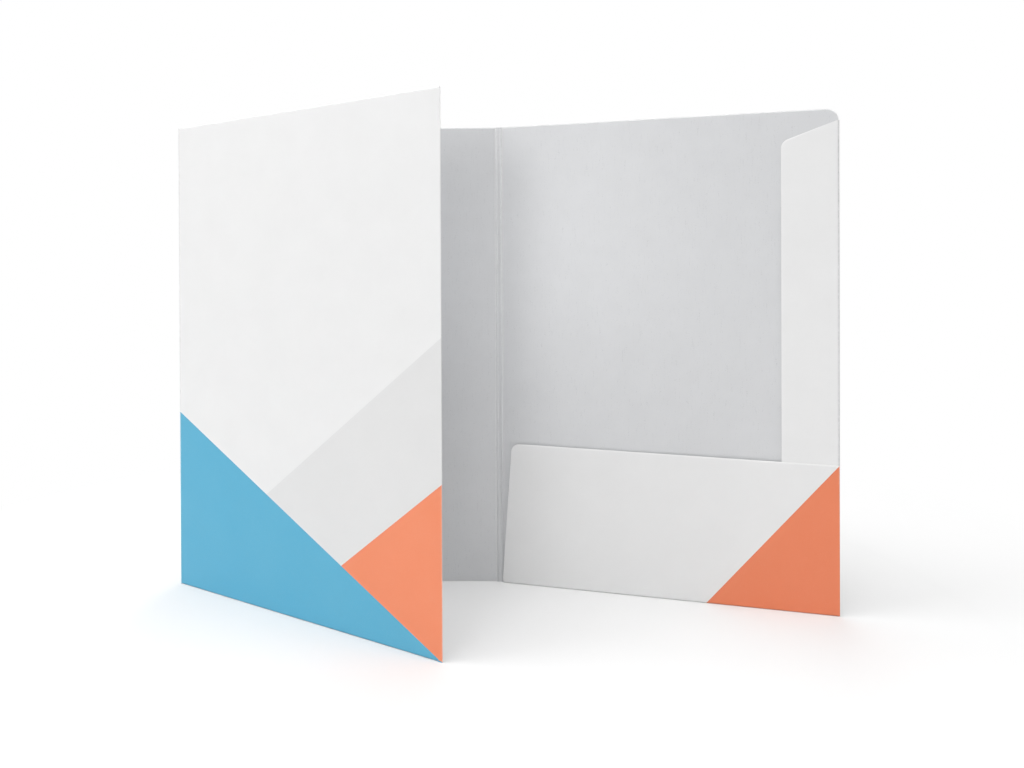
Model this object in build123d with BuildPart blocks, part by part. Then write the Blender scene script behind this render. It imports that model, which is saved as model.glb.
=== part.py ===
import os

from build123d import *

os.makedirs("parts", exist_ok=True)

# A three-panel presentation folder: one die-cut sheet of card, creased, folded and glued, that
# stands half open on its bottom edges. Units are millimetres. The centre panel lies in the XZ plane
# with the middle of its bottom edge at the origin, and the inside of the folder faces -Y there.

# Sheet
card = 0.45
panel_height = 310
centre_width = 215
cover_width = 214
right_width = 213
corner_radius = 7.5

# Spines: a strip between two creases, which are folded alike
front_spine_width = 6
right_spine_width = 3
front_crease_angle = 76.5
right_crease_angle = 6.25
crease_gap = 0.08

# Pockets: folded up from the bottom edge, open towards the spine
pocket_inner_height = 95
pocket_outer_height = 92
pocket_spine_gap = 0.5
pocket_slant = 6.7
pocket_corner_radius = 5.4
pocket_edge_gap = 0.3
fold_radius = 0.35

# Side flap of the right panel, folded in behind the pocket
flap_width = 33.5
flap_stand_off = 0.5
flap_top_gap = 7.5
flap_foot_gap = 6
flap_slope = 11.5
flap_corner_radius = 5.5

# Glue tab of the front pocket, folded in behind its outer end
tab_set_back = 3
tab_width = 16
tab_end_gap = 5
tab_slope = 5

# Glue
glue_thickness = 0.1
glue_margin = 4

# A panel stops short of each crease axis by half of the spine's round edge and the crease's play.
panel_end = card / 2 + crease_gap
inside_face = card / 2
flap_back = inside_face + flap_stand_off
flap_front = flap_back + card
pocket_back = flap_front + glue_thickness
pocket_front = pocket_back + card
fold_depth = inside_face + pocket_front


def along_sheet(length, turn):
    """A length along the sheet, to the right as seen from the inside, turned about the vertical."""
    return Vector(length, 0, 0).rotate(Axis.Z, turn)


def sheet_plane(crease, turn):
    """A panel's middle plane: x along the sheet, y up and z out of the inside face."""
    right = along_sheet(1, turn)
    return Plane(origin=crease, x_dir=right, z_dir=right.cross(Vector(0, 0, 1)))


def spine_plane(crease, turn):
    """The floor plane under a spine, with x along the sheet."""
    return Plane(origin=crease, x_dir=along_sheet(1, turn), z_dir=(0, 0, 1))


# Crease axes, from the free edge of the cover to the right panel
front_inner_crease = Vector(-centre_width / 2, 0, 0)
front_outer_crease = front_inner_crease - along_sheet(front_spine_width, front_crease_angle)
right_inner_crease = Vector(centre_width / 2, 0, 0)
right_outer_crease = right_inner_crease + along_sheet(right_spine_width, -right_crease_angle)

centre_plane = sheet_plane((0, 0, 0), 0)
cover_plane = sheet_plane(front_outer_crease, 2 * front_crease_angle)
right_plane = sheet_plane(right_outer_crease, -2 * right_crease_angle)
cover_run = Axis((0, 0, 0), cover_plane.x_dir)
right_run = Axis((0, 0, 0), right_plane.x_dir)

# Centre panel: a plain sheet between the two inner creases
with BuildPart() as centre_panel:
    with BuildSketch(centre_plane):
        with Locations((0, panel_height / 2)):
            Rectangle(centre_width - 2 * panel_end, panel_height)
    extrude(amount=card / 2, both=True)
centre_panel.part.label = "centre_panel"
export_step(centre_panel.part, "parts/centre_panel.step")

# Front spine: its round edges lie on the crease axes and are the barrels that the panels turn about
with BuildPart() as front_spine:
    with BuildSketch(spine_plane((front_inner_crease + front_outer_crease) / 2, front_crease_angle)):
        SlotCenterToCenter(front_spine_width, card)
    extrude(amount=panel_height)
front_spine.part.label = "front_spine"
export_step(front_spine.part, "parts/front_spine.step")

# Front cover: a square-cornered sheet that stands on the fold of its pocket
with BuildPart() as front_cover:
    with BuildSketch(cover_plane):
        with Locations((-panel_end, card)):
            Rectangle(cover_width - panel_end, panel_height - card, align=(Align.MAX, Align.MIN))
    extrude(amount=card / 2, both=True)
front_cover.part.label = "front_cover"
export_step(front_cover.part, "parts/front_cover.step")

# Front pocket fold: a double-scored base between the cover and its pocket
front_pocket_end = tab_set_back - cover_width
with BuildPart() as front_pocket_fold:
    with BuildSketch(cover_plane.offset(-inside_face)):
        with Locations((front_pocket_end, 0)):
            Rectangle(-pocket_spine_gap - front_pocket_end, card, align=(Align.MIN, Align.MIN))
    extrude(amount=fold_depth)
    outer_edges = front_pocket_fold.edges().filter_by(cover_run).group_by(Axis.Z)[0]
    fillet(outer_edges, fold_radius)
front_pocket_fold.part.label = "front_pocket_fold"
export_step(front_pocket_fold.part, "parts/front_pocket_fold.step")

# Front pocket: its open end leans away from the spine and its top falls towards the free edge
front_pocket_top = (-pocket_spine_gap - pocket_slant, pocket_inner_height)
with BuildPart() as front_pocket:
    with BuildSketch(cover_plane.offset(pocket_back)) as front_pocket_face:
        with BuildLine():
            Polyline(
                (-pocket_spine_gap, card),
                front_pocket_top,
                (front_pocket_end + card, pocket_outer_height),
                (front_pocket_end + card, card),
                close=True,
            )
        make_face()
        open_corner = front_pocket_face.vertices().sort_by_distance(front_pocket_top)[0]
        fillet(open_corner, pocket_corner_radius)
    extrude(amount=card)
front_pocket.part.label = "front_pocket"
export_step(front_pocket.part, "parts/front_pocket.step")

# Glue tab fold: the double-scored edge where the tab turns in behind the front pocket
tab_back = inside_face + glue_thickness
tab_top = pocket_outer_height - tab_end_gap
with BuildPart() as glue_tab_fold:
    with BuildSketch(cover_plane.offset(tab_back)):
        with Locations((front_pocket_end, tab_end_gap)):
            Rectangle(card, tab_top - tab_end_gap, align=(Align.MIN, Align.MIN))
    extrude(amount=pocket_front - tab_back)
    outer_edges = glue_tab_fold.edges().filter_by(Axis.Z).sort_by_distance(cover_plane.origin)[2:]
    fillet(outer_edges, fold_radius)
glue_tab_fold.part.label = "glue_tab_fold"
export_step(glue_tab_fold.part, "parts/glue_tab_fold.step")

# Glue tab: tapered at both ends, glued to the inside of the cover
with BuildPart() as glue_tab:
    with BuildSketch(cover_plane.offset(tab_back)):
        with BuildLine():
            Polyline(
                (front_pocket_end + card, tab_end_gap),
                (front_pocket_end + tab_width, tab_end_gap + tab_slope),
                (front_pocket_end + tab_width, tab_top - tab_slope),
                (front_pocket_end + card, tab_top),
                close=True,
            )
        make_face()
    extrude(amount=card)
glue_tab.part.label = "glue_tab"
export_step(glue_tab.part, "parts/glue_tab.step")

# Front pocket glue: the bead that holds the tab to the cover
with BuildPart() as front_pocket_glue:
    with BuildSketch(cover_plane.offset(inside_face)):
        with Locations((front_pocket_end + (card + tab_width) / 2, (tab_end_gap + tab_top) / 2)):
            RectangleRounded(
                tab_width - card - 2 * glue_margin,
                tab_top - tab_end_gap - 2 * (tab_slope + glue_margin),
                (tab_width - card) / 2 - 1.1 * glue_margin,
            )
    extrude(amount=glue_thickness)
front_pocket_glue.part.label = "front_pocket_glue"
export_step(front_pocket_glue.part, "parts/front_pocket_glue.step")

# Right spine: the same strip on the other side of the centre panel
with BuildPart() as right_spine:
    with BuildSketch(spine_plane((right_inner_crease + right_outer_crease) / 2, -right_crease_angle)):
        SlotCenterToCenter(right_spine_width, card)
    extrude(amount=panel_height)
right_spine.part.label = "right_spine"
export_step(right_spine.part, "parts/right_spine.step")

# Right panel: rounded at its top outer corner, it ends at the folds of its pocket and side flap
right_edge = right_width - card
with BuildPart() as right_panel:
    with BuildSketch(right_plane) as right_panel_face:
        with Locations((panel_end, card)):
            Rectangle(right_edge - panel_end, panel_height - card, align=(Align.MIN, Align.MIN))
        top_corner = right_panel_face.vertices().sort_by_distance((right_edge, panel_height))[0]
        fillet(top_corner, corner_radius)
    extrude(amount=card / 2, both=True)
right_panel.part.label = "right_panel"
export_step(right_panel.part, "parts/right_panel.step")

# Side flap fold: the double-scored outer edge of the right panel
flap_top = panel_height - flap_top_gap
with BuildPart() as side_flap_fold:
    with BuildSketch(right_plane.offset(-inside_face)):
        with Locations((right_edge, flap_foot_gap)):
            Rectangle(card, flap_top - flap_foot_gap, align=(Align.MIN, Align.MIN))
    extrude(amount=inside_face + flap_front)
    outer_edges = side_flap_fold.edges().filter_by(Axis.Z).sort_by_distance(right_plane.origin)[2:]
    fillet(outer_edges, fold_radius)
side_flap_fold.part.label = "side_flap_fold"
export_step(side_flap_fold.part, "parts/side_flap_fold.step")

# Side flap: folded in over the panel, with sloping ends and a rounded top inner corner
flap_inner_edge = right_width - flap_width
flap_corner = (flap_inner_edge, flap_top - flap_slope)
with BuildPart() as side_flap:
    with BuildSketch(right_plane.offset(flap_back)) as side_flap_face:
        with BuildLine():
            Polyline(
                (right_edge, flap_top),
                flap_corner,
                (flap_inner_edge, flap_foot_gap + flap_slope),
                (right_edge, flap_foot_gap),
                close=True,
            )
        make_face()
        fillet(side_flap_face.vertices().sort_by_distance(flap_corner)[0], flap_corner_radius)
    extrude(amount=card)
side_flap.part.label = "side_flap"
export_step(side_flap.part, "parts/side_flap.step")

# Right pocket fold: a double-scored base between the panel and its pocket
right_pocket_end = right_width - pocket_edge_gap
with BuildPart() as right_pocket_fold:
    with BuildSketch(right_plane.offset(-inside_face)):
        with Locations((pocket_spine_gap, 0)):
            Rectangle(right_pocket_end - pocket_spine_gap, card, align=(Align.MIN, Align.MIN))
    extrude(amount=fold_depth)
    outer_edges = right_pocket_fold.edges().filter_by(right_run).group_by(Axis.Z)[0]
    fillet(outer_edges, fold_radius)
right_pocket_fold.part.label = "right_pocket_fold"
export_step(right_pocket_fold.part, "parts/right_pocket_fold.step")

# Right pocket: covers the foot of the side flap and ends flush with the panel's outer edge
right_pocket_top = (pocket_spine_gap + pocket_slant, pocket_inner_height)
with BuildPart() as right_pocket:
    with BuildSketch(right_plane.offset(pocket_back)) as right_pocket_face:
        with BuildLine():
            Polyline(
                (pocket_spine_gap, card),
                right_pocket_top,
                (right_pocket_end, pocket_outer_height),
                (right_pocket_end, card),
                close=True,
            )
        make_face()
        open_corner = right_pocket_face.vertices().sort_by_distance(right_pocket_top)[0]
        fillet(open_corner, pocket_corner_radius)
    extrude(amount=card)
right_pocket.part.label = "right_pocket"
export_step(right_pocket.part, "parts/right_pocket.step")

# Right pocket glue: the bead between the side flap's foot and the pocket
glue_foot = flap_foot_gap + flap_slope
glue_top = pocket_outer_height - glue_margin
with BuildPart() as right_pocket_glue:
    with BuildSketch(right_plane.offset(flap_front)):
        with Locations(((flap_inner_edge + right_edge) / 2, (glue_foot + glue_top) / 2)):
            RectangleRounded(
                flap_width - card - 4 * glue_margin,
                glue_top - glue_foot,
                glue_margin,
            )
    extrude(amount=glue_thickness)
right_pocket_glue.part.label = "right_pocket_glue"
export_step(right_pocket_glue.part, "parts/right_pocket_glue.step")
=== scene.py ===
import math

import bpy
from mathutils import Matrix, Vector


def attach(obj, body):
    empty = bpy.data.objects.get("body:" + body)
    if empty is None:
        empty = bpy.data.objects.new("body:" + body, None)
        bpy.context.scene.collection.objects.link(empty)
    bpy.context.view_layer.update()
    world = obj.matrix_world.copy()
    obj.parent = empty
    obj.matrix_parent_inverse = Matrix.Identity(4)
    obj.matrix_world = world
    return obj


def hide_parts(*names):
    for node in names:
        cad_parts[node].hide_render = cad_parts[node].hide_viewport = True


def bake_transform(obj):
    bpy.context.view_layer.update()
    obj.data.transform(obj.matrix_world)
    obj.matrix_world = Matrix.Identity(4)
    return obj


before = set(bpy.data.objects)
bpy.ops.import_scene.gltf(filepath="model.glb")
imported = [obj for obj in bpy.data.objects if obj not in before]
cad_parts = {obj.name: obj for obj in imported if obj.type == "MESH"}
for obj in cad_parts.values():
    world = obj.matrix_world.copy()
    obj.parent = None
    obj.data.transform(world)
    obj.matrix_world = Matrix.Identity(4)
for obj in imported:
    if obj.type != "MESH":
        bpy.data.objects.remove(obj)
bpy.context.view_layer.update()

# Camera: it stands before the right spine, two thirds of the way up the folder. It looks almost
# level, and its lens is shifted down, so that upright edges stay upright in the picture. The focal
# length and the row of the level line are in pixels of the picture.
picture_width = 1024
picture_height = 768
focal_length = 700
level_line = 284.9
sensor_width = 36
camera_place = (0.1279, -0.4777, 0.2051)
camera_dip = math.radians(0.28)
camera_roll = math.radians(0.22)
camera_turn = math.radians(1.23)
camera_data = bpy.data.cameras.new("camera")
camera_data.sensor_width = sensor_width
camera_data.lens = focal_length / picture_width * sensor_width
camera_data.shift_y = (level_line - picture_height / 2) / picture_width
camera_data.clip_start = 0.01
camera = bpy.data.objects.new("camera", camera_data)
camera.location = camera_place
camera.rotation_euler = (math.pi / 2 - camera_dip, camera_roll, camera_turn)
bpy.context.scene.collection.objects.link(camera)
bpy.context.scene.camera = camera

# Centre panel: the middle flat of the one sheet of card that the folder is cut from. The card is
# white and matt coated outside, pale grey inside, and its die-cut edges are pressed a little thin.
mm = 0.001
card = 0.45 * mm
panel_height = 310 * mm
centre_width = 215 * mm
crease_reach = 1.0 * mm
pressed_width = 0.8 * mm
pressed_depth = 0.14 * mm
corner_steps = 12
outside_slot = 0
# A point this near to an edge is on it, points this near to each other are one point, and a face
# whose normal reaches this far along an axis looks that way.
edge_margin = 0.1 * mm
same_place = 0.0001 * mm
facing_limit = 0.9


def printed_tone(red, green, blue):
    """A colour as it is written for the screen, turned into amounts of light."""
    shares = [level / 255 for level in (red, green, blue)]
    return [share / 12.92 if share < 0.04 else ((share + 0.055) / 1.055) ** 2.4 for share in shares] + [1]


def add_node(tree, kind, **values):
    """A shader node with its named sockets and settings filled in."""
    node = tree.nodes.new(kind)
    for name, value in values.items():
        socket = name.replace("_", " ")
        if socket in node.inputs:
            node.inputs[socket].default_value = value
        else:
            setattr(node, name, value)
    return node


def make_card_surface():
    """Shader group: the card's tooth and fibres as a height, and the slow clouding of its pulp."""
    tree = bpy.data.node_groups.new("card_surface", "ShaderNodeTree")
    tree.interface.new_socket("Cloud size", in_out="INPUT", socket_type="NodeSocketFloat")
    tree.interface.new_socket("Height", in_out="OUTPUT", socket_type="NodeSocketFloat")
    tree.interface.new_socket("Cloud", in_out="OUTPUT", socket_type="NodeSocketFloat")
    given = tree.nodes.new("NodeGroupInput")
    result = tree.nodes.new("NodeGroupOutput")
    place = add_node(tree, "ShaderNodeTexCoord")
    tooth = add_node(tree, "ShaderNodeTexNoise", Scale=1900, Detail=3, Roughness=0.6)
    grain_run = add_node(tree, "ShaderNodeMapping", Scale=(1, 1, 0.12))
    fibres = add_node(tree, "ShaderNodeTexNoise", Scale=1100, Detail=2, Distortion=0.4)
    height = add_node(tree, "ShaderNodeMix", data_type="FLOAT", Factor=0.4)
    cloud = add_node(tree, "ShaderNodeTexNoise", Detail=4, Roughness=0.55)
    tree.links.new(place.outputs["Object"], tooth.inputs["Vector"])
    tree.links.new(place.outputs["Object"], grain_run.inputs["Vector"])
    tree.links.new(grain_run.outputs["Vector"], fibres.inputs["Vector"])
    tree.links.new(place.outputs["Object"], cloud.inputs["Vector"])
    tree.links.new(given.outputs["Cloud size"], cloud.inputs["Scale"])
    tree.links.new(tooth.outputs["Fac"], height.inputs["A"])
    tree.links.new(fibres.outputs["Fac"], height.inputs["B"])
    tree.links.new(height.outputs["Result"], result.inputs["Height"])
    tree.links.new(cloud.outputs["Fac"], result.inputs["Cloud"])
    return tree


def make_rub_and_light_mask():
    """Shader group: the flecked amount of a piece's own marks, for rub on pressed edges and creases and
    for painted shade and highlight on folds and beads.
    """
    tree = bpy.data.node_groups.new("rub_and_light_mask", "ShaderNodeTree")
    tree.interface.new_socket("Rub and painted light", in_out="OUTPUT", socket_type="NodeSocketFloat")
    result = tree.nodes.new("NodeGroupOutput")
    place = add_node(tree, "ShaderNodeTexCoord")
    rub_and_light_amount = add_node(tree, "ShaderNodeAttribute", attribute_name="rub_and_light_amount")
    flecks = add_node(tree, "ShaderNodeTexNoise", Scale=420, Detail=4, Roughness=0.65)
    rub_and_painted_light = add_node(tree, "ShaderNodeMath", operation="MULTIPLY")
    tree.links.new(place.outputs["Object"], flecks.inputs["Vector"])
    tree.links.new(rub_and_light_amount.outputs["Fac"], rub_and_painted_light.inputs[0])
    tree.links.new(flecks.outputs["Fac"], rub_and_painted_light.inputs[1])
    tree.links.new(rub_and_painted_light.outputs["Value"], result.inputs["Rub and painted light"])
    return tree


card_surface = make_card_surface()
rub_and_light_mask = make_rub_and_light_mask()


def make_card(name, tone, clouded_tone, rub_and_painted_light_tone, roughness, gloss, cloud_size):
    """A card finish: its tone drifts with the pulp's clouding and changes at the piece's marks, which are
    rub, painted shade and painted highlight.
    """
    roughness_drift = 0.07
    finish = bpy.data.materials.new(name)
    finish.use_nodes = True
    tree = finish.node_tree
    shader = tree.nodes["Principled BSDF"]
    shader.inputs["Specular IOR Level"].default_value = gloss
    surface = add_node(tree, "ShaderNodeGroup", node_tree=card_surface)
    surface.inputs["Cloud size"].default_value = cloud_size
    # The flecked mask of the piece's marks: rub, and painted shade and highlight on folds and beads.
    edge = add_node(tree, "ShaderNodeGroup", node_tree=rub_and_light_mask)
    clouding = add_node(tree, "ShaderNodeMapRange", From_Min=0.3, From_Max=0.7)
    clouded = add_node(tree, "ShaderNodeMix", data_type="RGBA")
    clouded.inputs["A"].default_value = tone
    clouded.inputs["B"].default_value = clouded_tone
    rub_and_light_mix = add_node(tree, "ShaderNodeMix", data_type="RGBA")
    rub_and_light_mix.inputs["B"].default_value = rub_and_painted_light_tone
    dulling = add_node(tree, "ShaderNodeMapRange")
    dulling.inputs["To Min"].default_value = roughness - roughness_drift
    dulling.inputs["To Max"].default_value = roughness + roughness_drift
    relief = add_node(tree, "ShaderNodeBump", Strength=0.22, Distance=0.05 * mm)
    tree.links.new(surface.outputs["Cloud"], clouding.inputs["Value"])
    tree.links.new(clouding.outputs["Result"], clouded.inputs["Factor"])
    tree.links.new(clouded.outputs["Result"], rub_and_light_mix.inputs["A"])
    tree.links.new(edge.outputs["Rub and painted light"], rub_and_light_mix.inputs["Factor"])
    tree.links.new(rub_and_light_mix.outputs["Result"], shader.inputs["Base Color"])
    tree.links.new(surface.outputs["Height"], dulling.inputs["Value"])
    tree.links.new(dulling.outputs["Result"], shader.inputs["Roughness"])
    tree.links.new(surface.outputs["Height"], relief.inputs["Height"])
    tree.links.new(relief.outputs["Normal"], shader.inputs["Normal"])
    return finish


def make_white_card(name, rub_and_painted_light_tone):
    """The matt white coating of the card's outside, with the tone that it takes at its marks, which is
    paler for rub and grey for painted shade on a fold.
    """
    return make_card(
        name,
        tone=printed_tone(244, 244, 244),
        clouded_tone=printed_tone(242, 242, 242),
        rub_and_painted_light_tone=rub_and_painted_light_tone,
        roughness=0.6,
        gloss=0.3,
        cloud_size=45,
    )


white_outside = make_white_card("white_coated_card", printed_tone(249, 249, 248))
grey_inside = make_card(
    "pale_grey_card",
    tone=printed_tone(220, 221, 223),
    clouded_tone=printed_tone(217, 218, 220),
    rub_and_painted_light_tone=printed_tone(250, 250, 250),
    roughness=0.29,
    gloss=0.95,
    cloud_size=70,
)
cut_edge = make_card(
    "cut_card_edge",
    tone=printed_tone(236, 235, 232),
    clouded_tone=printed_tone(226, 224, 220),
    rub_and_painted_light_tone=printed_tone(242, 241, 238),
    roughness=0.85,
    gloss=0.2,
    cloud_size=900,
)


def pick(piece):
    """Selects one piece alone, so that the next operators act on it."""
    bpy.ops.object.select_all(action="DESELECT")
    piece.select_set(True)
    bpy.context.view_layer.objects.active = piece


def only(piece, kind, wanted):
    """Opens a piece for editing with just the wanted vertices, edges or faces selected."""
    pick(piece)
    bpy.ops.object.mode_set(mode="EDIT")
    bpy.ops.mesh.select_mode(type=kind)
    bpy.ops.mesh.select_all(action="DESELECT")
    bpy.ops.object.mode_set(mode="OBJECT")
    mesh = piece.data
    for part in {"VERT": mesh.vertices, "EDGE": mesh.edges, "FACE": mesh.polygons}[kind]:
        part.select = wanted(part)
    bpy.ops.object.mode_set(mode="EDIT")


def lay_blank(name, left, right, foot, top, depth, outside):
    """A flat blank in its panel's frame: x along the sheet, z up, depth towards the inside (-y).
    Outside is 1 where the sheet's outer side looks back (+y) and -1 where it looks forward."""
    bpy.ops.object.select_all(action="DESELECT")
    bpy.ops.mesh.primitive_plane_add(
        size=1,
        location=((left + right) / 2, -depth, (foot + top) / 2),
        rotation=(-outside * math.pi / 2, 0, 0),
    )
    blank = bpy.context.object
    blank.name = blank.data.name = name
    blank.scale = (right - left, top - foot, 1)
    bpy.ops.object.transform_apply(location=True, rotation=True, scale=True)
    return blank


def trim(blank, start, end):
    """Die-cuts a flat blank along a line, keeping what lies to the left from start to end."""
    only(blank, "FACE", lambda face: True)
    bpy.ops.mesh.bisect(
        plane_co=(start[0], 0, start[1]),
        plane_no=(end[1] - start[1], 0, start[0] - end[0]),
        clear_outer=True,
    )
    bpy.ops.object.mode_set(mode="OBJECT")


def round_corner(blank, x, z, cut_back):
    """Rounds the corner of a flat blank that is nearest to a point."""
    corner = min(blank.data.vertices, key=lambda v: (v.co.x - x) ** 2 + (v.co.z - z) ** 2).index
    only(blank, "VERT", lambda vertex: vertex.index == corner)
    bpy.ops.mesh.bevel(offset=cut_back, segments=corner_steps, affect="VERTICES")
    bpy.ops.object.mode_set(mode="OBJECT")


def give_card(piece, outside_finish=white_outside):
    """Gives a flat or folded blank the card's thickness, with a finish for its outside, its inside
    and its cut edges, in this order of slots."""
    for finish in (outside_finish, grey_inside, cut_edge):
        piece.data.materials.append(finish)
    pick(piece)
    bpy.ops.object.modifier_add(type="SOLIDIFY")
    thickness = piece.modifiers[-1]
    thickness.thickness = card
    thickness.offset = 0
    thickness.use_even_offset = True
    thickness.material_offset = 1
    thickness.material_offset_rim = 2
    bpy.ops.object.modifier_apply(modifier=thickness.name)
    piece.data.attributes.new("rub_and_light_amount", "FLOAT", "POINT")


def mark_rub_and_light(piece, amount):
    """Marks each point of a piece for its marked tone, which is rub, painted shade on folds and a painted
    highlight on beads: 0 is untouched, and past 2 it takes the tone all over.
    """
    marks = piece.data.attributes["rub_and_light_amount"]
    for vertex in piece.data.vertices:
        marks.data[vertex.index].value = amount(vertex.co)


def press_edges(sheet, is_cut):
    """Presses a flat sheet thin along its die-cut edges, on both sides."""
    middle = sum(v.co.y for v in sheet.data.vertices) / len(sheet.data.vertices)
    outline = [v.co.copy() for v in sheet.data.vertices]
    only(sheet, "FACE", lambda face: abs(face.normal.y) > facing_limit)
    bpy.ops.mesh.inset(thickness=pressed_width, use_boundary=True, use_even_offset=True)
    bpy.ops.object.mode_set(mode="OBJECT")
    cut = set()
    for vertex in sheet.data.vertices:
        on_outline = any((vertex.co - point).length < same_place for point in outline)
        if on_outline and is_cut(vertex.co):
            cut.add(vertex.index)
    for side in (1, -1):
        only(sheet, "VERT", lambda v: v.index in cut and (v.co.y - middle) * side > 0)
        bpy.ops.transform.translate(value=(0, -side * pressed_depth, 0))
        bpy.ops.object.mode_set(mode="OBJECT")
    marks = sheet.data.attributes["rub_and_light_amount"]
    for vertex in sheet.data.vertices:
        marks.data[vertex.index].value = 1.0 if vertex.index in cut else 0.0


def stand(piece, crease, heading):
    """Stands a piece on its crease line, turned about the upright, with its place in its mesh."""
    pick(piece)
    piece.location = (crease[0], crease[1], 0)
    piece.rotation_euler = (0, 0, heading)
    bpy.ops.object.transform_apply(location=True, rotation=True, scale=True)


centre_edge = centre_width / 2 - crease_reach
centre = lay_blank("centre_panel_sheet", -centre_edge, centre_edge, 0, panel_height, 0, 1)
give_card(centre)
press_edges(centre, lambda co: co.z < edge_margin or co.z > panel_height - edge_margin)
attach(centre, "centre_panel")
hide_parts("centre_panel")

# Front spine: the strip between the two creases on the left. The card is scored and folded there,
# and each half of the strip is one piece with its crease. The white outside of each fold is grey
# with painted shade of its turn, and the crease is rubbed pale inside and on the blue.
front_spine_width = 6 * mm
front_turn = math.radians(76.5)
bend_radius = 0.9 * mm
bend_steps = 8
smooth_angle = math.radians(35)
crease_shade_and_rub = 1.3
crease_shade_and_rub_reach = 1.2 * mm


def along(length, heading):
    """A length along the sheet, to the right as seen from the inside, at a heading."""
    return Vector((length * math.cos(heading), length * math.sin(heading), 0))


def fold_strip(name, profile, run_start, run_end):
    """A strip of sheet extruded along a profile, whose two long ends lie at the run's two ends."""
    first, second = profile[0], profile[1]
    run = run_end - run_start
    across = second - first
    facing = across.cross(run)
    axes = Matrix((across.normalized(), run.normalized(), facing.normalized())).transposed()
    bpy.ops.object.select_all(action="DESELECT")
    bpy.ops.mesh.primitive_plane_add(
        size=1, location=(first + second + run_start + run_end) / 2, rotation=axes.to_euler()
    )
    strip = bpy.context.object
    strip.name = strip.data.name = name
    strip.scale = (across.length, run.length, 1)
    bpy.ops.object.transform_apply(location=True, rotation=True, scale=True)
    halfway = across.length_squared / 2
    leading = [v.index for v in strip.data.vertices if (v.co - first).dot(across) > halfway]
    only(strip, "EDGE", lambda edge: all(v in leading for v in edge.vertices))
    for here, there in zip(profile[1:], profile[2:]):
        bpy.ops.mesh.extrude_edges_move(TRANSFORM_OT_translate={"value": there - here})
    bpy.ops.object.mode_set(mode="OBJECT")
    return strip


def bent_profile(crease, left_heading, right_heading, left_reach, right_reach):
    """The card's middle line round a folded crease, from the left sheet to the right one."""
    turn = right_heading - left_heading
    tangent = bend_radius * math.tan(abs(turn) / 2)
    begin = crease - along(tangent, left_heading)
    centre_of_bend = begin + along(bend_radius, left_heading - math.pi / 2)
    points = [crease - along(left_reach, left_heading)]
    for step in range(bend_steps + 1):
        heading = left_heading + turn * step / bend_steps
        points.append(centre_of_bend + along(bend_radius, heading + math.pi / 2))
    points.append(crease + along(right_reach, right_heading))
    return points


def soften(piece):
    """Shades a folded strip smoothly round its bend."""
    pick(piece)
    bpy.ops.object.shade_smooth_by_angle(angle=smooth_angle)


def nearness(co, crease, reach):
    """1 on a crease line, falling to 0 at a reach from it."""
    return max(0, 1 - (co.xy - crease.xy).length / reach)


def make_ink_lay():
    """Shader group: fine specks where the card's tooth shows through the ink."""
    tree = bpy.data.node_groups.new("ink_lay", "ShaderNodeTree")
    tree.interface.new_socket("Specks", in_out="OUTPUT", socket_type="NodeSocketFloat")
    result = tree.nodes.new("NodeGroupOutput")
    place = add_node(tree, "ShaderNodeTexCoord")
    fine = add_node(tree, "ShaderNodeTexNoise", Scale=2600, Detail=2)
    specks = add_node(tree, "ShaderNodeMapRange", From_Min=0.62, From_Max=0.8, To_Max=0.12)
    tree.links.new(place.outputs["Object"], fine.inputs["Vector"])
    tree.links.new(fine.outputs["Fac"], specks.inputs["Value"])
    tree.links.new(specks.outputs["Result"], result.inputs["Specks"])
    return tree


ink_lay = make_ink_lay()


def make_print(name, tone, thin_tone, roughness):
    """Flat offset print on the white card: a tone that drifts slightly and specks where it is thin."""
    bare_tone = printed_tone(243, 243, 243)
    worn_tone = [(ink + bare) / 2 for ink, bare in zip(tone, bare_tone)]
    finish = make_card(
        name,
        tone=tone,
        clouded_tone=thin_tone,
        rub_and_painted_light_tone=worn_tone,
        roughness=roughness,
        gloss=0.35,
        cloud_size=40,
    )
    tree = finish.node_tree
    shader = tree.nodes["Principled BSDF"]
    lay = add_node(tree, "ShaderNodeGroup", node_tree=ink_lay)
    thinned = add_node(tree, "ShaderNodeMix", data_type="RGBA")
    thinned.inputs["B"].default_value = bare_tone
    before = shader.inputs["Base Color"].links[0].from_socket
    tree.links.new(lay.outputs["Specks"], thinned.inputs["Factor"])
    tree.links.new(before, thinned.inputs["A"])
    tree.links.new(thinned.outputs["Result"], shader.inputs["Base Color"])
    return finish


blue_print = make_print("blue_print", printed_tone(94, 181, 215), printed_tone(98, 183, 216), 0.5)
blue_top = 117 * mm


def add_print(piece, finish):
    """Adds a print to a piece's finishes and gives the slot that it takes there."""
    piece.data.materials.append(finish)
    return len(piece.data.materials) - 1


def wrap_blue(strip):
    """Carries the cover's blue print over a strip's outer side, level with its top at the crease."""
    blue_slot = add_print(strip, blue_print)
    only(strip, "FACE", lambda face: face.material_index == outside_slot)
    bpy.ops.mesh.bisect(plane_co=(0, 0, blue_top), plane_no=(0, 0, 1))
    bpy.ops.object.mode_set(mode="OBJECT")
    for face in strip.data.polygons:
        is_outside = face.material_index == outside_slot and face.center.x < -centre_width / 2
        if is_outside and face.center.z < blue_top:
            face.material_index = blue_slot


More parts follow.
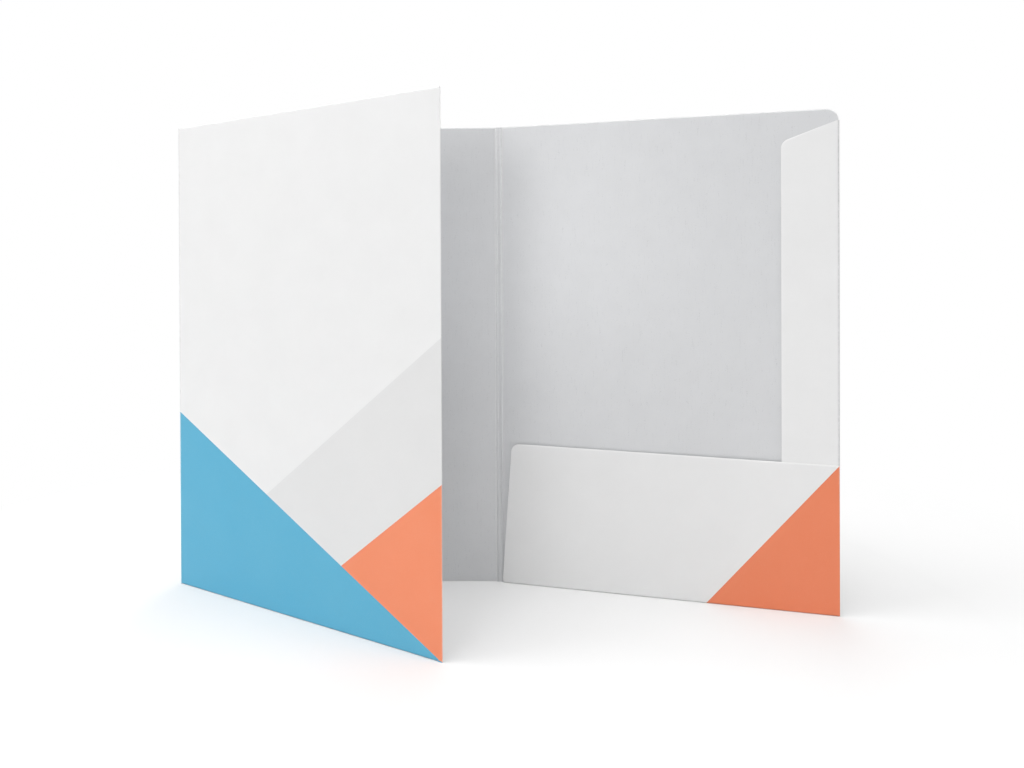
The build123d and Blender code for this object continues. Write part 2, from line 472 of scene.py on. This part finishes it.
# Painted shade: the grey that a fold's white outside takes at its marks, standing for the shade of its
# turn.
fold_shade_outside = make_white_card("white_card_painted_fold_shade", printed_tone(209, 209, 210))
front_inner_crease = Vector((-centre_width / 2, 0, 0))
front_outer_crease = front_inner_crease - along(front_spine_width, front_turn)
cover_heading = 2 * front_turn
upright = Vector((0, 0, panel_height))
for name, crease, left_heading, right_heading, left_reach, right_reach, left_body, right_body in (
    ("front_outer_crease", front_outer_crease, cover_heading, front_turn,
     crease_reach, front_spine_width / 2, "front_cover", "front_spine"),
    ("front_inner_crease", front_inner_crease, front_turn, 0,
     front_spine_width / 2, crease_reach, "front_spine", "centre_panel"),
):
    profile = bent_profile(crease, left_heading, right_heading, left_reach, right_reach)
    strip = fold_strip(name, profile, upright, Vector((0, 0, 0)))
    give_card(strip, fold_shade_outside)
    wrap_blue(strip)
    # The marks paint the fold's shade on its white outside, and rub its inside and its blue pale.
    mark_rub_and_light(strip, lambda co: crease_shade_and_rub * nearness(co, crease, crease_shade_and_rub_reach))
    soften(strip)
    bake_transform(strip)
    # The two strips stand for the spine together, so the first one hides the spine's imported part.
    if left_body == "front_cover":
        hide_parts("front_spine")

# Front cover: the printed outer flat with square corners. A long blue corner runs across its foot,
# with an orange corner and a pale grey facet above it, printed flat on the white coating.
cover_width = 214 * mm
fold_reach = 1.6 * mm
orange_print = make_print("orange_print", printed_tone(249, 147, 107), printed_tone(250, 150, 111), 0.5)
grey_print = make_print("pale_grey_print", printed_tone(234, 234, 234), printed_tone(232, 232, 232), 0.55)


def score_print(sheet, start, end, wanted):
    """Divides the wanted faces of a sheet's printed side along a straight line of the artwork."""
    only(sheet, "FACE", wanted)
    bpy.ops.mesh.bisect(
        plane_co=(start[0], 0, start[1]),
        plane_no=(end[1] - start[1], 0, start[0] - end[0]),
    )
    bpy.ops.object.mode_set(mode="OBJECT")


def left_of(point, start, end):
    """True where a point of the sheet lies to the left of the line from start to end."""
    return (end[0] - start[0]) * (point.z - start[1]) - (end[1] - start[1]) * (point.x - start[0]) > 0


def make_room(blank, left, right, foot, top):
    """Cuts a rectangle out of a flat blank's rim, where a folded strip takes over from it."""
    level, steep = (0, 0, 1), (1, 0, 0)
    for point, facing in (
        ((0, 0, foot), level), ((0, 0, top), level), ((left, 0, 0), steep), ((right, 0, 0), steep)
    ):
        only(blank, "FACE", lambda face: True)
        bpy.ops.mesh.bisect(plane_co=point, plane_no=facing)
        bpy.ops.object.mode_set(mode="OBJECT")
    only(blank, "FACE", lambda face: left < face.center.x < right and foot < face.center.z < top)
    bpy.ops.mesh.delete(type="FACE")
    bpy.ops.mesh.select_all(action="SELECT")
    bpy.ops.mesh.dissolve_limited(angle_limit=math.radians(1))
    bpy.ops.object.mode_set(mode="OBJECT")


pocket_edge_gap = 3 * mm
front_pocket_end = pocket_edge_gap - cover_width
cover = lay_blank("front_cover_sheet", -cover_width, -crease_reach, 0, panel_height, 0, 1)
make_room(cover, front_pocket_end, 0, -fold_reach, fold_reach)
give_card(cover)
press_edges(cover, lambda co: co.z > panel_height - edge_margin or co.x < edge_margin - cover_width)
blue_slot = add_print(cover, blue_print)
orange_slot = add_print(cover, orange_print)
grey_slot = add_print(cover, grey_print)
blue_low, blue_high = (-cover_width, 0), (-crease_reach, blue_top)
grey_foot, grey_head = (-82.4 * mm, 72.5 * mm), (-cover_width, 175 * mm)
orange_foot, orange_head = (-142.9 * mm, 38.9 * mm), (-cover_width, 96 * mm)


def is_printed_side(face):
    """True for the faces of the cover's outside, before it is stood in its place."""
    return face.normal.y > facing_limit


score_print(cover, blue_low, blue_high, is_printed_side)
score_print(
    cover, grey_foot, grey_head,
    lambda face: is_printed_side(face) and left_of(face.center, blue_low, blue_high),
)
score_print(
    cover, orange_foot, orange_head,
    lambda face: is_printed_side(face) and left_of(face.center, blue_low, blue_high)
    and left_of(face.center, grey_foot, grey_head),
)
for face in cover.data.polygons:
    if is_printed_side(face):
        if not left_of(face.center, blue_low, blue_high):
            face.material_index = blue_slot
        elif left_of(face.center, orange_foot, orange_head):
            face.material_index = orange_slot
        elif left_of(face.center, grey_foot, grey_head):
            face.material_index = grey_slot
stand(cover, front_outer_crease, cover_heading)
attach(cover, "front_cover")
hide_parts("front_cover")

# Front pocket: folded up from the bottom of the cover, on its inside. The turned base is printed
# with the cover's blue outside, and the pocket's open end leans away from the spine.
pocket_depth = 1.5 * mm
pocket_inner_height = 95 * mm
pocket_outer_height = 92 * mm
pocket_spine_gap = 0.5 * mm
pocket_slant = 6.7 * mm
pocket_corner_cut = 5.1 * mm
turn_steps = 12
base_rub = 0.3
blue_base_depth = 0.6 * pocket_depth


def turned_profile(begin, turn_from, turn_to, end, outwards):
    """The card's middle line round a full turn that bulges outwards between two parallel sheets."""
    middle = (turn_from + turn_to) / 2
    arm = turn_from - middle
    points = [begin]
    for step in range(turn_steps + 1):
        angle = math.pi * step / turn_steps
        points.append(middle + arm * math.cos(angle) + outwards * arm.length * math.sin(angle))
    points.append(end)
    return points


def depth_point(x, depth, z):
    """A point in a panel's frame, depth towards the inside."""
    return Vector((x, -depth, z))


def pocket_base(name, left, right):
    """The turned base between a panel and its pocket."""
    turn_height = pocket_depth / 2 + card / 2
    profile = turned_profile(
        depth_point(0, 0, fold_reach), depth_point(0, 0, turn_height),
        depth_point(0, pocket_depth, turn_height), depth_point(0, pocket_depth, fold_reach),
        Vector((0, 0, -1)),
    )
    base = fold_strip(name, profile, Vector((right, 0, 0)), Vector((left, 0, 0)))
    give_card(base)
    mark_rub_and_light(base, lambda co: base_rub * max(0, 1 - co.z / turn_height))
    soften(base)
    return base


front_base = pocket_base("front_pocket_base", front_pocket_end, -crease_reach)
blue_slot = add_print(front_base, blue_print)
for face in front_base.data.polygons:
    if face.material_index == outside_slot and face.center.y > -blue_base_depth:
        face.material_index = blue_slot
stand(front_base, front_outer_crease, cover_heading)
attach(front_base, "front_cover")
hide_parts("front_pocket_fold")

tab_foot = 5 * mm
tab_top = 87 * mm
turn_reach = 1.4 * mm


def is_front_pocket_cut(co):
    """True on the pocket's die-cut edges, and not on its folded foot or on the turn of its tab."""
    beside_tab = tab_foot + edge_margin < co.z < tab_top - edge_margin
    on_tab_turn = beside_tab and co.x < front_pocket_end + 2 * turn_reach
    return co.z > fold_reach + edge_margin and not on_tab_turn


front_lip = -pocket_spine_gap - pocket_slant
front_pocket = lay_blank(
    "front_pocket_sheet",
    front_pocket_end + card, -pocket_spine_gap, fold_reach, pocket_inner_height, pocket_depth, -1,
)
trim(front_pocket, (-pocket_spine_gap, 0), (front_lip, pocket_inner_height))
trim(front_pocket, (front_lip, pocket_inner_height), (front_pocket_end, pocket_outer_height))
round_corner(front_pocket, front_lip, pocket_inner_height, pocket_corner_cut)
make_room(front_pocket, front_pocket_end, front_pocket_end + turn_reach, tab_foot, tab_top)
give_card(front_pocket)
press_edges(front_pocket, is_front_pocket_cut)
stand(front_pocket, front_outer_crease, cover_heading)
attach(front_pocket, "front_cover")
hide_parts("front_pocket")

# Glue tab: the pocket's outer end is turned in behind it, and the tab is stuck flat on the inside
# of the cover with a bead of hot-melt glue. The right pocket is stuck to its side flap in the same
# way, so both beads get their finish here.
tab_depth = 0.55 * mm
tab_width = 16 * mm
tab_slope = 5 * mm
tab_rub = 0.5


def turned_edge(name, edge, side, depths, heights, rub_and_painted_light, outside_finish):
    """The turn where a sheet folds over at an upright edge, on its right (side 1) or left (side -1)."""
    here, there = depths
    foot, top = heights
    begin = edge - side * turn_reach
    middle = edge - side * (abs(there - here) + card) / 2
    profile = turned_profile(
        depth_point(begin, here, 0), depth_point(middle, here, 0),
        depth_point(middle, there, 0), depth_point(begin, there, 0),
        Vector((side, 0, 0)),
    )
    turn = fold_strip(name, profile, Vector((0, 0, top)), Vector((0, 0, foot)))
    give_card(turn, outside_finish)
    mark_rub_and_light(turn, lambda co: rub_and_painted_light * max(0, 1 - side * (edge - co.x) / turn_reach))
    soften(turn)
    return turn


tab_turn = turned_edge(
    "glue_tab_turn", front_pocket_end, -1,
    (pocket_depth, tab_depth), (tab_foot, tab_top), tab_rub, white_outside,
)
stand(tab_turn, front_outer_crease, cover_heading)
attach(tab_turn, "front_cover")
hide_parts("glue_tab_fold")

tab_fold_line = front_pocket_end + turn_reach
tab_edge = front_pocket_end + tab_width
tab = lay_blank("glue_tab_sheet", tab_fold_line, tab_edge, tab_foot, tab_top, tab_depth, 1)
trim(tab, (front_pocket_end, tab_foot), (tab_edge, tab_foot + tab_slope))
trim(tab, (tab_edge, tab_top - tab_slope), (front_pocket_end, tab_top))
give_card(tab)
press_edges(tab, lambda co: co.x > tab_fold_line + edge_margin)
stand(tab, front_outer_crease, cover_heading)
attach(tab, "front_cover")
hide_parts("glue_tab")

glue = make_card(
    "hot_melt_glue",
    tone=printed_tone(236, 228, 205),
    clouded_tone=printed_tone(228, 218, 190),
    rub_and_painted_light_tone=printed_tone(240, 234, 214),
    roughness=0.4,
    gloss=0.5,
    cloud_size=300,
)
for node in ("front_pocket_glue", "right_pocket_glue"):
    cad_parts[node].data.materials.clear()
    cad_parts[node].data.materials.append(glue)

# Right spine: the narrow strip between the two creases right of the centre panel. It is almost flat
# here, so each score shows as a thin raised bead on the inside and a groove on the outside. The
# beads are rubbed pale, with a painted highlight that is strongest at the top and gone at the foot.
right_spine_width = 3 * mm
right_turn = -math.radians(6.25)
bead_height = 0.5 * mm
bead_half_width = 0.6 * mm
bead_steps = 8
bead_highlight_and_rub = 4
bead_highlight_and_rub_reach = 1.3 * bead_half_width
right_inner_crease = Vector((centre_width / 2, 0, 0))
right_outer_crease = right_inner_crease + along(right_spine_width, right_turn)
panel_heading = 2 * right_turn


def beaded_profile(crease, left_heading, right_heading, left_reach, right_reach):
    """The card's middle line over a scored crease, raised to a bead towards the inside."""
    inside = along(1, (left_heading + right_heading) / 2 - math.pi / 2)
    points = [crease - along(left_reach, left_heading)]
    for step in range(bead_steps + 1):
        share = 2 * step / bead_steps - 1
        lift = bead_height * (1 + math.cos(math.pi * share)) / 2
        heading = left_heading if share < 0 else right_heading
        points.append(crease + along(share * bead_half_width, heading) + inside * lift)
    points.append(crease + along(right_reach, right_heading))
    return points


for name, crease, left_heading, right_heading, left_reach, right_reach, left_body, right_body in (
    ("right_inner_crease", right_inner_crease, 0, right_turn,
     crease_reach, right_spine_width / 2, "centre_panel", "right_spine"),
    ("right_outer_crease", right_outer_crease, right_turn, panel_heading,
     right_spine_width / 2, crease_reach, "right_spine", "right_panel"),
):
    profile = beaded_profile(crease, left_heading, right_heading, left_reach, right_reach)
    strip = fold_strip(name, profile, upright, Vector((0, 0, 0)))
    give_card(strip)
    # Painted highlight: the beads' pale mark grows with height, full at the top and none at the foot.
    mark_rub_and_light(strip, lambda co: bead_highlight_and_rub * co.z / panel_height * nearness(co, crease, bead_highlight_and_rub_reach))
    soften(strip)
    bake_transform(strip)
    # The two strips stand for the spine together, so the first one hides the spine's imported part.
    if left_body == "centre_panel":
        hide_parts("right_spine")

# Right panel: the inner flat with one rounded top corner. Its outer edge is folded over to the side
# flap, and its foot to the pocket.
right_width = 213 * mm
panel_setback = 0.2 * mm
right_edge = right_width - panel_setback
corner_radius = 7.5 * mm
flap_foot = 6 * mm
flap_top = 302.5 * mm
flap_fold_line = right_width - turn_reach


def is_right_panel_cut(co):
    """True on the panel's top edge and its rounded corner. Its other edges are folded."""
    on_corner = co.x > right_edge / 2 and co.z > panel_height - corner_radius - edge_margin
    return on_corner or co.z > panel_height - edge_margin


right_panel = lay_blank("right_panel_sheet", crease_reach, right_edge, fold_reach, panel_height, 0, 1)
round_corner(right_panel, right_edge, panel_height, corner_radius)
make_room(right_panel, flap_fold_line, right_width, flap_foot, flap_top)
give_card(right_panel)
press_edges(right_panel, is_right_panel_cut)
stand(right_panel, right_outer_crease, panel_heading)
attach(right_panel, "right_panel")
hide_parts("right_panel")

# Side flap: folded in along the panel's outer edge, so its face shows the white outside of the card.
# Its ends slope, its top inner corner is rounded, and its foot goes down behind the pocket. The fold
# is grey outside, as painted shade of its turn.
flap_depth = 0.95 * mm
flap_width = 33.5 * mm
flap_inner_edge = right_width - flap_width
flap_slope = 11.5 * mm
flap_corner_cut = 3.9 * mm
# Painted shade: the mark greys the fold's white outside towards its turn.
flap_fold_shade_and_rub = 2.6
flap_turn = turned_edge(
    "side_flap_turn", right_width, 1,
    (0, flap_depth), (flap_foot, flap_top), flap_fold_shade_and_rub, fold_shade_outside,
)
stand(flap_turn, right_outer_crease, panel_heading)
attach(flap_turn, "right_panel")
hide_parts("side_flap_fold")

flap = lay_blank("side_flap_sheet", flap_inner_edge, flap_fold_line, flap_foot, flap_top, flap_depth, -1)
trim(flap, (right_width - card, flap_top), (flap_inner_edge, flap_top - flap_slope))
trim(flap, (flap_inner_edge, flap_foot + flap_slope), (right_width - card, flap_foot))
round_corner(flap, flap_inner_edge, flap_top - flap_slope, flap_corner_cut)
give_card(flap)
press_edges(flap, lambda co: co.x < flap_fold_line - edge_margin)
stand(flap, right_outer_crease, panel_heading)
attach(flap, "right_panel")
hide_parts("side_flap")

# Right pocket: folded up from the bottom of the right panel and glued to the foot of the side flap.
# It shows the white outside of the card, with an orange corner printed at its outer end.
pocket_setback = 0.3 * mm
right_pocket_end = right_width - pocket_setback
orange_start = 134 * mm
orange_base_depth = 0.4 * pocket_depth
orange_low, orange_high = (orange_start, 0), (right_width, pocket_outer_height)
# Painted shade: the pocket's orange is the cover's ink, made darker here for the pocket's shade.
painted_shade_orange = printed_tone(243, 138, 98)
painted_shade_thin_orange = printed_tone(245, 141, 102)
painted_shade_orange_print = make_print("painted_shade_orange_print", painted_shade_orange, painted_shade_thin_orange, 0.5)
right_base = pocket_base("right_pocket_base", crease_reach, right_pocket_end)
orange_slot = add_print(right_base, painted_shade_orange_print)
score_print(right_base, orange_low, orange_high, lambda face: face.material_index == outside_slot)
for face in right_base.data.polygons:
    is_outer_half = face.material_index == outside_slot and face.center.y < -orange_base_depth
    if is_outer_half and not left_of(face.center, orange_low, orange_high):
        face.material_index = orange_slot
stand(right_base, right_outer_crease, panel_heading)
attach(right_base, "right_panel")
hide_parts("right_pocket_fold")

right_lip = pocket_spine_gap + pocket_slant
right_pocket = lay_blank(
    "right_pocket_sheet",
    pocket_spine_gap, right_pocket_end, fold_reach, pocket_inner_height, pocket_depth, -1,
)
trim(right_pocket, (right_lip, pocket_inner_height), (pocket_spine_gap, 0))
trim(right_pocket, (right_pocket_end, pocket_outer_height), (right_lip, pocket_inner_height))
round_corner(right_pocket, right_lip, pocket_inner_height, pocket_corner_cut)
give_card(right_pocket)
press_edges(right_pocket, lambda co: co.z > fold_reach + edge_margin)
orange_slot = add_print(right_pocket, painted_shade_orange_print)
score_print(right_pocket, orange_low, orange_high, lambda face: face.normal.y < -facing_limit)
for face in right_pocket.data.polygons:
    if face.normal.y < -facing_limit and not left_of(face.center, orange_low, orange_high):
        face.material_index = orange_slot
stand(right_pocket, right_outer_crease, panel_heading)
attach(right_pocket, "right_panel")
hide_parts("right_pocket")

# Light and floor: a large soft lamp almost overhead, weaker ones on all sides, and a dim even room
# that the camera sees as white. The white floor keeps the folder's soft shadow and fades into the
# room further out.
scene = bpy.context.scene
scene.view_settings.view_transform = "Standard"
world = bpy.data.worlds.new("white_room")
scene.world = world
world.use_nodes = True
room = world.node_tree
background = room.nodes["Background"]
background.inputs["Color"].default_value = (1, 1, 1, 1)
room_light = 0.2
floor_size = 30
floor_paint = (0.6, 0.6, 0.6, 1)
floor_paint_seen = (0.575, 0.575, 0.575, 1)
floor_lift = 0.125
folder_middle = Vector((0.105, -0.05, 0))
fade_start = 0.3
fade_end = 0.5


def seen_directly(tree):
    """1 for what the camera sees, also in a mirror or through glass, and 0 for light on the way."""
    path = tree.nodes.new("ShaderNodeLightPath")
    first = add_node(tree, "ShaderNodeMath", operation="MAXIMUM")
    both = add_node(tree, "ShaderNodeMath", operation="MAXIMUM")
    tree.links.new(path.outputs["Is Camera Ray"], first.inputs[0])
    tree.links.new(path.outputs["Is Glossy Ray"], first.inputs[1])
    tree.links.new(first.outputs["Value"], both.inputs[0])
    tree.links.new(path.outputs["Is Transmission Ray"], both.inputs[1])
    return both.outputs["Value"]


strength = add_node(room, "ShaderNodeMapRange", To_Min=room_light, To_Max=1.0)
room.links.new(seen_directly(room), strength.inputs["Value"])
room.links.new(strength.outputs["Result"], background.inputs["Strength"])

lamp_aim = Vector((0.1, -0.05, 0.15))
lamp_distance = 2.0
for name, side_angle, height_angle, lamp_size, watts in (
    ("top_lamp", -60, 80, 1.6, 56),
    ("left_lamp", -80, 45, 0.8, 11.5),
    ("front_lamp", -27, 8, 1.0, 4.7),
    ("right_lamp", 75, 20, 1.0, 7.5),
    ("back_lamp", 170, 20, 1.2, 14),
):
    lamp_data = bpy.data.lights.new(name, "AREA")
    lamp_data.size = lamp_size
    lamp_data.energy = watts
    lamp = bpy.data.objects.new(name, lamp_data)
    aside, up = math.radians(side_angle), math.radians(height_angle)
    lamp_way = Vector((math.sin(aside) * math.cos(up), -math.cos(aside) * math.cos(up), math.sin(up)))
    lamp.location = lamp_aim + lamp_distance * lamp_way
    lamp.rotation_euler = lamp_way.to_track_quat("Z", "Y").to_euler()
    lamp.visible_camera = False
    scene.collection.objects.link(lamp)

bpy.ops.object.select_all(action="DESELECT")
bpy.ops.mesh.primitive_plane_add(size=floor_size)
floor = bpy.context.object
floor.name = "floor"
floor_finish = bpy.data.materials.new("white_floor")
floor_finish.use_nodes = True
tree = floor_finish.node_tree
tree.nodes.remove(tree.nodes["Principled BSDF"])
seen = seen_directly(tree)
matt = add_node(tree, "ShaderNodeBsdfDiffuse")
paint = add_node(tree, "ShaderNodeMix", data_type="RGBA")
paint.inputs["A"].default_value = floor_paint
paint.inputs["B"].default_value = floor_paint_seen
lift = add_node(tree, "ShaderNodeMath", operation="MULTIPLY")
glow = add_node(tree, "ShaderNodeEmission")
near = add_node(tree, "ShaderNodeAddShader")
far = add_node(tree, "ShaderNodeEmission")
place = add_node(tree, "ShaderNodeTexCoord")
middle = add_node(tree, "ShaderNodeMapping", Location=-folder_middle)
distance = add_node(tree, "ShaderNodeVectorMath", operation="LENGTH")
fade = add_node(tree, "ShaderNodeMapRange", From_Min=fade_start, From_Max=fade_end)
away = add_node(tree, "ShaderNodeMath", operation="MULTIPLY")
blendover = add_node(tree, "ShaderNodeMixShader")
tree.links.new(seen, paint.inputs["Factor"])
tree.links.new(paint.outputs["Result"], matt.inputs["Color"])
lift.inputs[0].default_value = floor_lift
tree.links.new(seen, lift.inputs[1])
tree.links.new(lift.outputs["Value"], glow.inputs["Strength"])
tree.links.new(matt.outputs["BSDF"], near.inputs[0])
tree.links.new(glow.outputs["Emission"], near.inputs[1])
tree.links.new(place.outputs["Object"], middle.inputs["Vector"])
tree.links.new(middle.outputs["Vector"], distance.inputs[0])
tree.links.new(distance.outputs["Value"], fade.inputs["Value"])
tree.links.new(fade.outputs["Result"], away.inputs[0])
tree.links.new(seen, away.inputs[1])
tree.links.new(away.outputs["Value"], blendover.inputs["Fac"])
tree.links.new(near.outputs["Shader"], blendover.inputs[1])
tree.links.new(far.outputs["Emission"], blendover.inputs[2])
tree.links.new(blendover.outputs["Shader"], tree.nodes["Material Output"].inputs["Surface"])
floor.data.materials.append(floor_finish)
